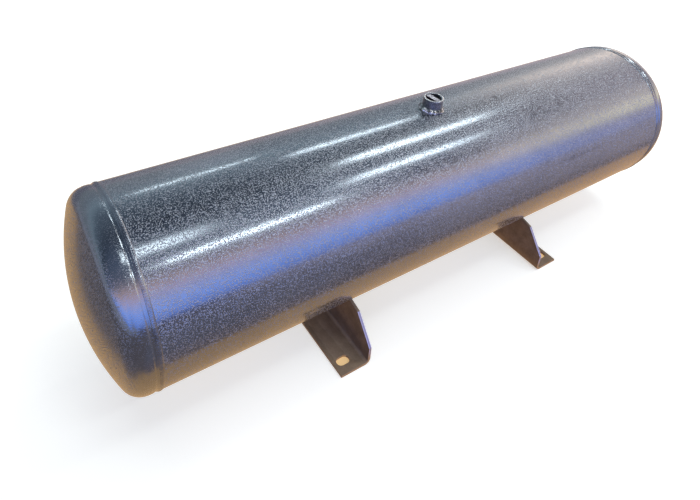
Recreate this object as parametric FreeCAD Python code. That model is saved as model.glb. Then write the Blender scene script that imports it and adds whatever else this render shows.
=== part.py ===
"""Horizontal pressure tank: a welded steel air reservoir on two bent-plate feet.

Millimetres, +Z up. The origin is on the floor under the middle of the tank, +X runs
along the tank, and -X is its left end. Each piece is written as its own STEP file.
"""
import FreeCAD, Part
import math
import os

from FreeCAD import Vector

# The rolled shell.
SHELL_OD = 300.0
SHELL_WALL = 4.0
SHELL_LENGTH = 1084.0
FLOOR_CLEARANCE = 48.5

# The torispherical heads, outside sizes.
HEAD_WALL = 4.0
HEAD_SKIRT = 16.0
HEAD_CROWN_R = 340.0
HEAD_KNUCKLE_R = 30.0

# The weld that joins shell and head: a wide, low cap on both, and beside it a shallow
# groove round the head's skirt.
GIRTH_WELD_WIDTH = 15.0
GIRTH_WELD_PROUD = 1.5
SKIRT_GROOVE_WIDTH = 3.2
SKIRT_GROOVE_DEPTH = 0.8

# The threaded half coupling on top, and the plug that closes it.
PORT_X = 0.0
BOSS_OD = 35.0
BOSS_PROUD = 21.0
BOSS_BORE_D = 26.5
BOSS_CHAMFER = 1.0
PORT_WELD_LEG = 6.0
PLUG_CLEARANCE = 0.1
PLUG_FLOOR_DEPTH = 8.0
PLUG_THICKNESS = 6.0
PLUG_BAR_WIDTH = 9.0
PLUG_BAR_DEPTH = 1.5
PLUG_BAR_TURN = -85.0

# The two feet: a plate web across the tank, bent outwards into a slotted flange.
FOOT_WEB_X = 217.5
FOOT_PLATE = 5.0
FOOT_BEND_R = 11.0
FOOT_LENGTH = 350.0
FOOT_FLANGE = 58.0
WEB_INSET = 2.0
WEB_MEETS_SHELL_DEG = 46.5
SHOULDER_OUT = 27.5
SHOULDER_DOWN = 6.0
TAPER_END_HEIGHT = 36.5
SLOT_LENGTH = 24.0
SLOT_WIDTH = 16.0
SLOT_TO_FLANGE_EDGE = 18.5
SLOT_TO_FOOT_END = 24.0
FOOT_WELD_LEG = 5.0
FOOT_WELD_STOPS_DEG = 2.0

# Cutting tools run this far past the piece that they cut.
OVERRUN = 10.0

SHELL_R = SHELL_OD / 2
SHELL_END = SHELL_LENGTH / 2
AXIS_HEIGHT = FLOOR_CLEARANCE + SHELL_R
BOSS_R = BOSS_OD / 2
BORE_R = BOSS_BORE_D / 2
BOSS_TOP = AXIS_HEIGHT + SHELL_R + BOSS_PROUD
WEB_BACK_X = FOOT_WEB_X - FOOT_PLATE
FLANGE_EDGE_X = WEB_BACK_X + FOOT_FLANGE
FOOT_HALF = FOOT_LENGTH / 2
ALONG = Vector(1, 0, 0)
UP = Vector(0, 0, 1)
AXIS_START = Vector(0, 0, AXIS_HEIGHT)


def tank_cylinder(radius, start, end):
    """A solid cylinder on the tank's axis."""
    base = Vector(start, 0, AXIS_HEIGHT)
    return Part.makeCylinder(radius, end - start, base, ALONG)


def port_cylinder(radius, bottom, top):
    """A solid cylinder on the port's upright axis."""
    return Part.makeCylinder(radius, top - bottom, Vector(PORT_X, 0, bottom), UP)


def on_axis(x, radius):
    """A point in the upright plane through the axis, by its distance from the axis."""
    return Vector(x, 0, AXIS_HEIGHT + radius)


def revolved(edges, centre=AXIS_START, direction=ALONG, angle=360.0):
    """A solid made by turning a closed outline about an axis."""
    outline = Part.Face(Part.Wire(edges))
    return outline.revolve(centre, direction, angle)


def left_copy(shape):
    """The same piece at the other end of the tank."""
    return shape.mirror(Vector(0, 0, 0), ALONG)


def build_shell():
    outside = tank_cylinder(SHELL_R, -SHELL_END, SHELL_END)
    inside = tank_cylinder(SHELL_R - SHELL_WALL, -SHELL_END - OVERRUN, SHELL_END + OVERRUN)
    port_hole = port_cylinder(BORE_R, AXIS_HEIGHT, BOSS_TOP)
    return outside.cut(inside).cut(port_hole)


def head_profile(radius, crown_r, knuckle_r):
    """Points of a torispherical half section: skirt end, tangents, mid-arcs and apex."""
    tangent_x = SHELL_END + HEAD_SKIRT
    knuckle_centre_r = radius - knuckle_r
    reach = math.sqrt((crown_r - knuckle_r) ** 2 - knuckle_centre_r ** 2)
    crown_centre_x = tangent_x - reach
    meeting = math.atan2(knuckle_centre_r, reach)
    half_knuckle = (meeting + math.pi / 2) / 2

    def from_knuckle(angle):
        return on_axis(tangent_x + knuckle_r * math.cos(angle),
                       knuckle_centre_r + knuckle_r * math.sin(angle))

    def from_crown(angle):
        return on_axis(crown_centre_x + crown_r * math.cos(angle), crown_r * math.sin(angle))

    return {
        "skirt": on_axis(SHELL_END, radius),
        "tangent": on_axis(tangent_x, radius),
        "mid_knuckle": from_knuckle(half_knuckle),
        "meeting": from_crown(meeting),
        "mid_crown": from_crown(meeting / 2),
        "apex": from_crown(0.0),
    }


def dish_edges(points):
    return [
        Part.Arc(points["tangent"], points["mid_knuckle"], points["meeting"]).toShape(),
        Part.Arc(points["meeting"], points["mid_crown"], points["apex"]).toShape(),
    ]


def grooved_skirt_edges(skirt, tangent):
    """The skirt's outside, with the groove that starts at the weld's toe."""
    groove_start = SHELL_END + GIRTH_WELD_WIDTH / 2
    toe = on_axis(groove_start, SHELL_R)
    bottom = on_axis(groove_start + SKIRT_GROOVE_WIDTH / 2, SHELL_R - SKIRT_GROOVE_DEPTH)
    lip = on_axis(groove_start + SKIRT_GROOVE_WIDTH, SHELL_R)
    return [
        Part.LineSegment(skirt, toe).toShape(),
        Part.Arc(toe, bottom, lip).toShape(),
        Part.LineSegment(lip, tangent).toShape(),
    ]


def build_right_head():
    outer = head_profile(SHELL_R, HEAD_CROWN_R, HEAD_KNUCKLE_R)
    inner = head_profile(SHELL_R - HEAD_WALL, HEAD_CROWN_R - HEAD_WALL, HEAD_KNUCKLE_R - HEAD_WALL)
    edges = grooved_skirt_edges(outer["skirt"], outer["tangent"])
    edges.extend(dish_edges(outer))
    edges.append(Part.LineSegment(outer["apex"], inner["apex"]).toShape())
    edges.extend(reversed(dish_edges(inner)))
    edges.append(Part.LineSegment(inner["tangent"], inner["skirt"]).toShape())
    edges.append(Part.LineSegment(inner["skirt"], outer["skirt"]).toShape())
    return revolved(edges)


def build_right_girth_weld():
    start = on_axis(SHELL_END - GIRTH_WELD_WIDTH / 2, SHELL_R)
    crown = on_axis(SHELL_END, SHELL_R + GIRTH_WELD_PROUD)
    end = on_axis(SHELL_END + GIRTH_WELD_WIDTH / 2, SHELL_R)
    cap = Part.Arc(start, crown, end).toShape()
    seat = Part.LineSegment(end, start).toShape()
    return revolved([cap, seat])


def build_port_boss():
    """A half coupling whose foot is cut to the shell."""
    tube = port_cylinder(BOSS_R, AXIS_HEIGHT, BOSS_TOP)
    rim = [edge for edge in tube.Edges if edge.BoundBox.ZMin > BOSS_TOP - OVERRUN / 2
           and edge.Length > BOSS_R]
    tube = tube.makeChamfer(BOSS_CHAMFER, rim)
    bore = port_cylinder(BORE_R, AXIS_HEIGHT, BOSS_TOP + OVERRUN)
    shell = tank_cylinder(SHELL_R, -SHELL_END, SHELL_END)
    return tube.cut(bore).cut(shell)


def build_port_weld():
    """A fillet round the boss that follows the shell's curve."""
    drop = OVERRUN / 2
    toe_height = AXIS_HEIGHT + SHELL_R - drop
    cone = Part.makeCone(BOSS_R + PORT_WELD_LEG + drop, BOSS_R, PORT_WELD_LEG + drop,
                         Vector(PORT_X, 0, toe_height), UP)
    boss = port_cylinder(BOSS_R, AXIS_HEIGHT, BOSS_TOP)
    shell = tank_cylinder(SHELL_R, -SHELL_END, SHELL_END)
    return cone.cut(boss).cut(shell)


def build_port_plug():
    """A recessed plug with a bar across it to turn it by."""
    radius = BORE_R - PLUG_CLEARANCE
    floor_top = BOSS_TOP - PLUG_FLOOR_DEPTH
    disc = port_cylinder(radius, floor_top - PLUG_THICKNESS, floor_top)
    bar_top = BOSS_TOP - PLUG_BAR_DEPTH
    bar = Part.makeBox(2 * radius, PLUG_BAR_WIDTH, bar_top - floor_top,
                       Vector(PORT_X - radius, -PLUG_BAR_WIDTH / 2, floor_top))
    bar.rotate(Vector(PORT_X, 0, 0), UP, PLUG_BAR_TURN)
    bar = bar.common(port_cylinder(radius, floor_top, bar_top))
    return disc.fuse(bar).removeSplitter()


def foot_outline():
    """The web seen along the tank, as half its corners from the floor up."""
    contact = math.radians(WEB_MEETS_SHELL_DEG)
    contact_y = SHELL_R * math.cos(contact)
    contact_z = AXIS_HEIGHT - SHELL_R * math.sin(contact)
    return [
        (FOOT_HALF, 0.0),
        (FOOT_HALF - WEB_INSET, TAPER_END_HEIGHT),
        (contact_y + SHOULDER_OUT, contact_z - SHOULDER_DOWN),
        (contact_y, contact_z),
    ]


def bent_plate():
    """The foot's section, web up and flange out, drawn at the foot's far side."""
    inner_r = FOOT_BEND_R - FOOT_PLATE
    bend_x = WEB_BACK_X + FOOT_BEND_R
    web_top = AXIS_HEIGHT
    diagonal = math.sqrt(0.5)

    def at(x, z):
        return Vector(x, -FOOT_HALF, z)

    outer_mid = at(bend_x - FOOT_BEND_R * diagonal, FOOT_BEND_R - FOOT_BEND_R * diagonal)
    inner_mid = at(bend_x - inner_r * diagonal, FOOT_BEND_R - inner_r * diagonal)
    edges = [
        Part.LineSegment(at(WEB_BACK_X, web_top), at(WEB_BACK_X, FOOT_BEND_R)).toShape(),
        Part.Arc(at(WEB_BACK_X, FOOT_BEND_R), outer_mid, at(bend_x, 0)).toShape(),
        Part.LineSegment(at(bend_x, 0), at(FLANGE_EDGE_X, 0)).toShape(),
        Part.LineSegment(at(FLANGE_EDGE_X, 0), at(FLANGE_EDGE_X, FOOT_PLATE)).toShape(),
        Part.LineSegment(at(FLANGE_EDGE_X, FOOT_PLATE), at(bend_x, FOOT_PLATE)).toShape(),
        Part.Arc(at(bend_x, FOOT_PLATE), inner_mid, at(FOOT_WEB_X, FOOT_BEND_R)).toShape(),
        Part.LineSegment(at(FOOT_WEB_X, FOOT_BEND_R), at(FOOT_WEB_X, web_top)).toShape(),
        Part.LineSegment(at(FOOT_WEB_X, web_top), at(WEB_BACK_X, web_top)).toShape(),
    ]
    return Part.Face(Part.Wire(edges)).extrude(Vector(0, FOOT_LENGTH, 0))


def slot_cutter(side):
    """A round-ended slot along the tank through the flange, on one side of the foot."""
    centre_x = FLANGE_EDGE_X - SLOT_TO_FLANGE_EDGE
    centre_y = side * (FOOT_HALF - SLOT_TO_FOOT_END)
    radius = SLOT_WIDTH / 2
    half_run = SLOT_LENGTH / 2 - radius
    height = FOOT_PLATE + 2 * OVERRUN
    cutter = Part.makeBox(2 * half_run, SLOT_WIDTH, height,
                          Vector(centre_x - half_run, centre_y - radius, -OVERRUN))
    for end in (-1, 1):
        base = Vector(centre_x + end * half_run, centre_y, -OVERRUN)
        cutter = cutter.fuse(Part.makeCylinder(radius, height, base, UP))
    return cutter


def build_right_foot():
    half = foot_outline()
    ring = half + [(-y, z) for y, z in reversed(half)]
    corners = [Vector(WEB_BACK_X - OVERRUN, y, z) for y, z in ring]
    outline = Part.Face(Part.makePolygon(corners + corners[:1]))
    prism = outline.extrude(Vector(FOOT_FLANGE + 2 * OVERRUN, 0, 0))
    foot = bent_plate().common(prism)
    foot = foot.cut(tank_cylinder(SHELL_R, -SHELL_END, SHELL_END))
    for side in (-1, 1):
        foot = foot.cut(slot_cutter(side))
    return foot


def build_foot_weld(face_x, outwards):
    """A fillet in the corner between the shell and one face of the web."""
    toe_x = face_x + outwards * FOOT_WELD_LEG
    root = on_axis(face_x, -SHELL_R)
    on_shell = on_axis(toe_x, -SHELL_R)
    on_web = on_axis(face_x, -SHELL_R - FOOT_WELD_LEG)
    edges = Part.makePolygon([root, on_shell, on_web, root]).Edges
    half_angle = 90.0 - WEB_MEETS_SHELL_DEG - FOOT_WELD_STOPS_DEG
    weld = revolved(edges, angle=2 * half_angle)
    weld.rotate(AXIS_START, ALONG, -half_angle)
    return weld


def build_all():
    right_pieces = {
        "head": build_right_head(),
        "girth_weld": build_right_girth_weld(),
        "foot": build_right_foot(),
        "foot_outer_weld": build_foot_weld(FOOT_WEB_X, 1),
        "foot_inner_weld": build_foot_weld(WEB_BACK_X, -1),
    }
    pieces = {
        "shell": build_shell(),
        "port_boss": build_port_boss(),
        "port_weld": build_port_weld(),
        "port_plug": build_port_plug(),
    }
    for name, shape in right_pieces.items():
        pieces["right_" + name] = shape
        pieces["left_" + name] = left_copy(shape)
    return pieces


os.makedirs("parts", exist_ok=True)
for node, shape in build_all().items():
    shape.exportStep("parts/" + node + ".step")
    box = shape.BoundBox
    print(node, len(shape.Solids), "solid", shape.isValid(), round(shape.Volume / 1000, 1), "cm3",
          [round(v, 2) for v in (box.XMin, box.YMin, box.ZMin, box.XMax, box.YMax, box.ZMax)])
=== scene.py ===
# %% [markdown]
# # Finishing a horizontal pressure tank
#
# The construction of the tank arrives ready made: a rolled shell, two dished heads, a port
# with its plug, two bent feet and the welds that join them. This lesson gives every one of
# those pieces the surface of the real thing. A small compressed-air reservoir is plain
# steel under one coat of dark metallic enamel, so nearly all of its looks are reflections.
# That decides the order of work: first the camera, then what the enamel mirrors, then the
# enamel itself, and only then the small shapes that interrupt it.

import functools
import math
import operator

import bmesh
import bpy
import numpy as np
from mathutils import Matrix, Vector


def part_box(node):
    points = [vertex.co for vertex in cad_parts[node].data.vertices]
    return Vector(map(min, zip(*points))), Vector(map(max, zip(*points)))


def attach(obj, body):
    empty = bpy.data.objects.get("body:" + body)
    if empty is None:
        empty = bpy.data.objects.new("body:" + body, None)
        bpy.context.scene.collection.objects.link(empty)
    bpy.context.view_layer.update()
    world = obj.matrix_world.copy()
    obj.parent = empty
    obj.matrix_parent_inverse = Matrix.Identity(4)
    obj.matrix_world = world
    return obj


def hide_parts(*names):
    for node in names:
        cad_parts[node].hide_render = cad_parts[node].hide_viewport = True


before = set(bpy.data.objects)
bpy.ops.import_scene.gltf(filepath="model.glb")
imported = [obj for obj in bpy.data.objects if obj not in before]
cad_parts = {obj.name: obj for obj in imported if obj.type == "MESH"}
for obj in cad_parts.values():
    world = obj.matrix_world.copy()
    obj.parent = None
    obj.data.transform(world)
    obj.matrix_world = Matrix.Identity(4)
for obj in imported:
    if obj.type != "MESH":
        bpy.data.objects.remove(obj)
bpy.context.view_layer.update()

# %% [markdown]
# ## Sizes that the frame already knows
#
# A part that sits on another part should never carry its own idea of where that is. The
# radius, the height of the axis, the two seams and the tips of the heads are all read from
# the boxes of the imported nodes. Only what a box can't tell, such as the radius of a dished
# crown, is written down again.

# %% Read the tank's main sizes
MM = 0.001
BODY = "root"


def node_span(node, axis):
    """Lowest and highest value of a node's box along one axis."""
    low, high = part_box(node)
    return low[axis], high[axis]


SHELL_R = (node_span("shell", 1)[1] - node_span("shell", 1)[0]) / 2
AXIS_Z = sum(node_span("shell", 2)) / 2
SEAM_X = node_span("shell", 0)[1]
TIP_X = node_span("right_head", 0)[1]
PORT_R = node_span("port_boss", 0)[1]
PORT_TOP = node_span("port_boss", 2)[1]
PLUG_TOP = node_span("port_plug", 2)[1]
WEB_FACES = sorted(node_span("right_foot_outer_weld", 0) + node_span("right_foot_inner_weld", 0))
WALL = 4 * MM
CROWN_R = 340 * MM
KNUCKLE_R = 30 * MM
print(f"shell radius {SHELL_R:.4f}, axis at {AXIS_Z:.4f}, seams at {SEAM_X:.4f}, tips at {TIP_X:.4f}")


def on_tank(x, degrees, radius=None):
    """A point beside the tank's axis. 0 degrees faces the front, 90 is the top."""
    radius = SHELL_R if radius is None else radius
    turn = math.radians(degrees)
    return Vector((x, -radius * math.cos(turn), AXIS_Z + radius * math.sin(turn)))


# %% [markdown]
# ## The camera
#
# A tank this long looks quite different from near its end than from its middle: the near
# head swells and the far one shrinks. So the camera stands close, about a metre off the
# left head, above it and a little turned, with a short lens. Its place is measured from
# the origin of the frame, which lies on the floor under the middle of the tank.

# %% Place the camera
CAMERA_PLACE = Vector((-0.6594, -0.6053, 0.8457))
CAMERA_HEADING = math.radians(36.84)
CAMERA_DIP = math.radians(33.09)
CAMERA_ROLL = math.radians(5.84)
CAMERA_LENS = 29.89
CAMERA_SENSOR = 36.0
CAMERA_SHIFT = (0.0236, -0.165)


def camera_axes():
    """The camera's right, up and back directions."""
    ahead = Vector((
        math.sin(CAMERA_HEADING) * math.cos(CAMERA_DIP),
        math.cos(CAMERA_HEADING) * math.cos(CAMERA_DIP),
        -math.sin(CAMERA_DIP),
    ))
    right = ahead.cross(Vector((0, 0, 1))).normalized()
    up = right.cross(ahead)
    rolled_right = math.cos(CAMERA_ROLL) * right + math.sin(CAMERA_ROLL) * up
    rolled_up = math.cos(CAMERA_ROLL) * up - math.sin(CAMERA_ROLL) * right
    return rolled_right, rolled_up, -ahead


def place_camera():
    data = bpy.data.cameras.new("camera")
    data.lens = CAMERA_LENS
    data.sensor_width = CAMERA_SENSOR
    data.shift_x, data.shift_y = CAMERA_SHIFT
    camera = bpy.data.objects.new("camera", data)
    turn = Matrix(camera_axes()).transposed().to_4x4()
    camera.matrix_world = Matrix.Translation(CAMERA_PLACE) @ turn
    bpy.context.scene.collection.objects.link(camera)
    bpy.context.scene.camera = camera
    return camera


camera = place_camera()
print("camera at", [round(value, 3) for value in camera.location], "lens", camera.data.lens)

# %% [markdown]
# ## Node maths as plain expressions
#
# Procedural finishes are arithmetic on patterns, and arithmetic reads best as arithmetic.
# A `Wire` stands for one output of a node. Adding or multiplying wires adds the Math nodes
# behind the scenes. Every other node comes from one method, `node`, which takes the type,
# then its settings, then what its sockets get. The same two classes serve materials, the
# surroundings and Geometry Nodes alike.


# %% Define the node helpers
class Wire:
    """One output of a node, with the arithmetic that materials need."""

    def __init__(self, bench, socket):
        self.bench = bench
        self.socket = socket

    def maths(self, operation, *others):
        return self.bench.maths(operation, self, *others)

    def __add__(self, other):
        return self.maths("ADD", other)

    def __mul__(self, other):
        return self.maths("MULTIPLY", other)

    def __sub__(self, other):
        return self.maths("SUBTRACT", other)

    def __rsub__(self, other):
        return self.bench.maths("SUBTRACT", other, self)

    def __truediv__(self, other):
        return self.maths("DIVIDE", other)

    def __rtruediv__(self, other):
        return self.bench.maths("DIVIDE", other, self)

    __radd__, __rmul__ = __add__, __mul__

    def size(self):
        """The value without its sign."""
        return self.maths("ABSOLUTE")

    def between(self, low, high):
        """0 below low, 1 above high and a smooth rise between them."""
        settings = {"interpolation_type": "SMOOTHSTEP"}
        values = {"Value": self, "From Min": low, "From Max": high}
        return self.bench.node("ShaderNodeMapRange", settings, values)


class Bench:
    """A node tree to build on."""

    def __init__(self, tree):
        self.tree = tree

    def node(self, kind, settings=None, values=None, output=0):
        """Adds a node: its settings first, then a value or a wire for each socket named."""
        made = self.tree.nodes.new(kind)
        for name, value in (settings or {}).items():
            if name == "stops":
                self.fill_ramp(made.color_ramp, value)
            else:
                setattr(made, name, value)
        for name, value in (values or {}).items():
            if isinstance(value, Wire):
                self.tree.links.new(value.socket, made.inputs[name])
            else:
                made.inputs[name].default_value = value
        return Wire(self, made.outputs[output]) if made.outputs else None

    def maths(self, operation, *values):
        return self.node("ShaderNodeMath", {"operation": operation}, dict(enumerate(values)))

    @staticmethod
    def fill_ramp(ramp, stops):
        """Gives a colour ramp its stops, each a place from 0 to 1 and a colour."""
        while len(ramp.elements) > 1:
            ramp.elements.remove(ramp.elements[-1])
        for index, (place, colour) in enumerate(stops):
            element = ramp.elements[0] if index == 0 else ramp.elements.new(place)
            element.position = place
            element.color = (*colour, 1)

    def blend(self, share, first, second):
        """A colour that goes from first to second as share goes from 0 to 1."""
        colours = [c if isinstance(c, Wire) else (*c, 1) for c in (first, second)]
        values = {0: share, 6: colours[0], 7: colours[1]}
        return self.node("ShaderNodeMix", {"data_type": "RGBA"}, values, output=2)

    def split(self, vector):
        """The three parts of a vector."""
        parts = self.node("ShaderNodeSeparateXYZ", None, {0: vector})
        return [Wire(self, socket) for socket in parts.socket.node.outputs]

    def noise(self, vector, size, detail=2.0, roughness=0.5):
        """Soft blotches from 0 to 1 whose grain is about size metres."""
        values = {"Vector": vector, "Scale": 0.5 / size, "Detail": detail, "Roughness": roughness}
        return self.node("ShaderNodeTexNoise", None, values)


def new_material(name):
    """An empty material, a bench for its tree and the place in the frame being shaded."""
    material = bpy.data.materials.new(name)
    material.use_nodes = True
    material.node_tree.nodes.clear()
    bench = Bench(material.node_tree)
    return material, bench, bench.node("ShaderNodeTexCoord", None, None, output=3)


print("node helpers ready")

# %% [markdown]
# ## What the enamel mirrors
#
# Glossy dark metal shows its surroundings more than itself, so what one sees on the tank is
# mostly the room: strips of light overhead give the white streaks, a wide cool panel in
# front gives the blue band along the belly, and the floor gives the tan underside. Behind
# the tank all of that would distract, so the camera itself sees plain pale surroundings.
#
# Around a long cylinder the surroundings are best described by one angle: how far they lie
# from the front horizon, over the top, to the back horizon. A ramp over that angle paints
# the room, once for what lies beside the tank and once for what lies beyond its far end. A
# place on a ramp counts whole turns, and a quarter turn is the front horizon.

# %% Paint the surroundings
BACKDROP = (0.93, 0.935, 0.94)
FRONT_HORIZON = 0.25
BEYOND_FADE = (0.60, 0.86)
BESIDE_ROOM = [
    (0.243, (0.34, 0.33, 0.45)),
    (0.252, (0.33, 0.62, 1.85)),
    (0.285, (0.62, 1.04, 2.58)),
    (0.305, (0.82, 1.06, 2.15)),
    (0.330, (1.26, 1.03, 1.45)),
    (0.352, (1.16, 0.84, 0.84)),
    (0.372, (0.60, 0.52, 0.60)),
    (0.392, (0.24, 0.28, 0.40)),
    (0.440, (0.15, 0.21, 0.33)),
    (0.520, (0.06, 0.09, 0.14)),
    (0.600, (0.16, 0.23, 0.31)),
    (0.650, (0.41, 0.56, 0.67)),
    (0.700, (0.34, 0.40, 0.48)),
    (0.760, (0.28, 0.33, 0.36)),
]
BEYOND_ROOM = [
    (0.243, (0.55, 0.50, 0.62)),
    (0.252, (0.72, 0.72, 1.12)),
    (0.285, (0.70, 0.66, 1.00)),
    (0.305, (1.00, 0.92, 0.98)),
    (0.328, (2.15, 1.95, 1.38)),
    (0.352, (2.30, 2.05, 1.58)),
    (0.385, (1.45, 1.25, 1.17)),
    (0.440, (0.98, 0.86, 0.91)),
    (0.510, (0.82, 0.70, 0.77)),
    (0.560, (1.08, 0.98, 1.00)),
    (0.610, (1.75, 1.50, 1.42)),
    (0.652, (3.00, 2.48, 2.12)),
    (0.690, (1.25, 1.14, 1.10)),
    (0.725, (0.70, 0.66, 0.66)),
    (0.760, (0.55, 0.53, 0.53)),
]


def paint_surroundings():
    world = bpy.data.worlds.new("surroundings")
    world.use_nodes = True
    world.node_tree.nodes.clear()
    bench = Bench(world.node_tree)
    direction = bench.node("ShaderNodeTexCoord", None, None, output=0)
    along, depth, height = bench.split(direction)
    over = height.maths("ARCTAN2", depth * -1.0) / math.tau + FRONT_HORIZON
    beside = bench.node("ShaderNodeValToRGB", {"stops": BESIDE_ROOM}, {0: over})
    beyond = bench.node("ShaderNodeValToRGB", {"stops": BEYOND_ROOM}, {0: over})
    room = bench.blend(along.between(*BEYOND_FADE), beside, beyond)
    seen = bench.node("ShaderNodeLightPath")
    shown = bench.blend(seen, room, BACKDROP)
    light = bench.node("ShaderNodeBackground", None, {"Color": shown, "Strength": 1.0})
    bench.node("ShaderNodeOutputWorld", None, {"Surface": light})
    bpy.context.scene.world = world


paint_surroundings()
bpy.context.scene.view_settings.view_transform = "Standard"
print("surroundings painted with", len(BESIDE_ROOM), "and", len(BEYOND_ROOM), "stops")

# %% [markdown]
# ## Strips of light
#
# The streaks on the shell are the mirror images of tube lights that hang parallel to it,
# about a metre long and 2.5 metres up. Where one shows on the shell follows from the law of
# reflection, which `mirrored` works out: stand at the camera, look at a place on the tank,
# and follow the ray on to the height of the lamps. So each row of the table names the place
# on the shell where a streak belongs, in millimetres along it and degrees around it, and
# then the lamp's length, width and brightness.

# %% Hang the lamps
LAMP_HEIGHT = 2.5


def mirrored(x, degrees, height=LAMP_HEIGHT):
    """Where the ray that leaves the camera for a place on the tank goes on to."""
    place = on_tank(x, degrees)
    normal = (place - on_tank(x, degrees, 0)).normalized()
    ray = (place - CAMERA_PLACE).normalized().reflect(normal)
    return place + ray * ((height - place.z) / ray.z)


def hang_lamp(name, centre, length, width, brightness, colour=(1, 1, 1)):
    """An area light that faces straight down and gives every square metre that brightness."""
    data = bpy.data.lights.new(name, "AREA")
    data.shape = "RECTANGLE"
    data.size, data.size_y = length, width
    data.color = colour
    data.energy = brightness * math.pi * length * width
    lamp = bpy.data.objects.new(name, data)
    lamp.location = centre
    lamp.visible_camera = False
    bpy.context.scene.collection.objects.link(lamp)
    return lamp


COOL_WHITE = (0.86, 0.97, 1.0)
STREAKS = [
    ("lamp_back", -430, 92.0, 1.0, 0.20, 9.0),
    ("lamp_rear", -170, 85.5, 1.1, 0.24, 11.0),
    ("lamp_over", -75, 69.7, 1.1, 0.24, 12.0),
    ("lamp_fore", -100, 57.7, 1.0, 0.26, 9.5),
    ("lamp_front", -390, 50.0, 1.1, 0.20, 15.0),
    ("lamp_near", -520, 58.5, 0.5, 0.40, 5.0),
]
for lamp_name, x, degrees, length, width, brightness in STREAKS:
    spot = mirrored(x * MM, degrees)
    lamp = hang_lamp(lamp_name, spot, length, width, brightness, COOL_WHITE)
    print(lamp_name, [round(value, 2) for value in lamp.location])

# %% [markdown]
# ## The floor
#
# Two jobs meet in the floor. To the camera it is a plain pale ground that takes a soft
# shadow, with a glimpse of warm board through the slots of the feet. To the enamel it is
# the whole of that board, which ends beside the left head, and the darker ground around it.
# A Light Path node keeps the jobs apart. A wide soft lamp that the gloss doesn't see does
# nothing but light the floor and lay that shadow.

# %% Lay the floor
FLOOR_SIDE = 60.0
BOARD_FRONT = (-0.300, -0.265)
BOARD_BACK = (0.72, 0.86)
BOARD_NEAR, BOARD_FAR = (0.78, 0.49, 0.24), (1.04, 0.63, 0.34)
GROUND_NEAR, GROUND_FAR = (0.20, 0.205, 0.27), (0.66, 0.56, 0.62)
# The ground just beside the board's long edges is darker: a painted shadow.
PAINTED_GROUND_SHADOW = (0.24, 0.21, 0.25)
BOARD_END, BOARD_SKEW = (-0.80, -0.70), 0.35
ONWARD = (-0.7, 1.5)
PAINTED_SHADOW_SPAN = (0.30, 0.46)
PAST_END_FADE = (-2.1, -1.35)
PAST_END, FAR_PAST_END = (0.20, 0.18, 0.20), (0.46, 0.50, 0.62)
BOARD_TO_EYE = (0.66, 0.45, 0.22)
PALE = (0.74, 0.74, 0.69)
FLOOR_LIFT = 0.69
SLOT_X = node_span("right_foot", 0)[1] - 18.5 * MM
SLOT_Y = node_span("right_foot", 1)[1] - 24 * MM
SLOT_PATCH = (14 * MM, 15 * MM)


def floor_material():
    material, bench, place = new_material("floor")
    along, depth, _ = bench.split(place)
    onward = along.between(*ONWARD)
    board = bench.blend(onward, BOARD_NEAR, BOARD_FAR)
    ground = bench.blend(onward, GROUND_NEAR, GROUND_FAR)
    # Painted shadow on the ground along the board's edges.
    ground = bench.blend(depth.size().between(*PAINTED_SHADOW_SPAN), PAINTED_GROUND_SHADOW, ground)
    front_edge, back_edge = depth.between(*BOARD_FRONT), depth.between(*BOARD_BACK)
    beside_tank = bench.blend(front_edge - back_edge, ground, board)
    past_end = bench.blend(along.between(*PAST_END_FADE), FAR_PAST_END, PAST_END)
    on_board = (along + depth * BOARD_SKEW).between(*BOARD_END)
    mirrored_colour = bench.blend(on_board, past_end, beside_tank)
    reflected = bench.node("ShaderNodeEmission", None, {"Color": mirrored_colour, "Strength": 1.0})
    off_slot = (along.size() - SLOT_X).size().maths("MAXIMUM", (depth.size() - SLOT_Y).size())
    shown = bench.blend(off_slot.between(*SLOT_PATCH), BOARD_TO_EYE, PALE)
    matt = bench.node("ShaderNodeBsdfDiffuse", None, {"Color": shown})
    lift = bench.node("ShaderNodeEmission", None, {"Color": shown, "Strength": FLOOR_LIFT})
    pale = bench.node("ShaderNodeAddShader", None, {0: matt, 1: lift})
    seen = bench.node("ShaderNodeLightPath")
    surface = bench.node("ShaderNodeMixShader", None, {0: seen, 1: reflected, 2: pale})
    bench.node("ShaderNodeOutputMaterial", None, {"Surface": surface})
    return material


def lay_floor():
    half = FLOOR_SIDE / 2
    corners = [(-half, -half, 0), (half, -half, 0), (half, half, 0), (-half, half, 0)]
    mesh = bpy.data.meshes.new("floor")
    mesh.from_pydata(corners, [], [(0, 1, 2, 3)])
    mesh.materials.append(floor_material())
    floor = bpy.data.objects.new("floor", mesh)
    bpy.context.scene.collection.objects.link(floor)
    return floor


floor = lay_floor()
soft_top = hang_lamp("soft_top", Vector((0.3, 0.4, 3.2)), 3.6, 3.0, 1.6)
soft_top.visible_glossy = False
print("floor laid,", FLOOR_SIDE, "metres a side")

# %% [markdown]
# ## The enamel
#
# The tank was sprayed with a thin dark enamel that follows the steel closely. Under a
# magnifier it is a field of tiny beads, less than a millimetre each. A bead is rougher than
# the smooth coat between, so it gathers light from all over the room. In a dark part of the
# mirror image the beads are therefore the bright thing, and in the middle of a broad even
# reflection they nearly vanish. A bump alone can't do that at this distance, so one mask of
# the beads steers roughness, colour and bump together. The same recipe with other numbers
# makes the welds and the port, because the same coat went over them.

# %% Mix the enamel
GRAIN = 0.82 * MM
BEAD_DEPTH = 0.10 * MM


def put_steel(bench, colour, metallic, roughness, bump, **more):
    """A metal surface with a bump, joined to the material's output."""
    values = {"Base Color": colour, "Metallic": metallic, "Roughness": roughness, "Normal": bump}
    values.update(more)
    steel = bench.node("ShaderNodeBsdfPrincipled", None, values)
    bench.node("ShaderNodeOutputMaterial", None, {"Surface": steel})


def raised(bench, height, depth):
    return bench.node("ShaderNodeBump", None, {"Strength": 1.0, "Distance": depth, "Height": height})


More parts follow.
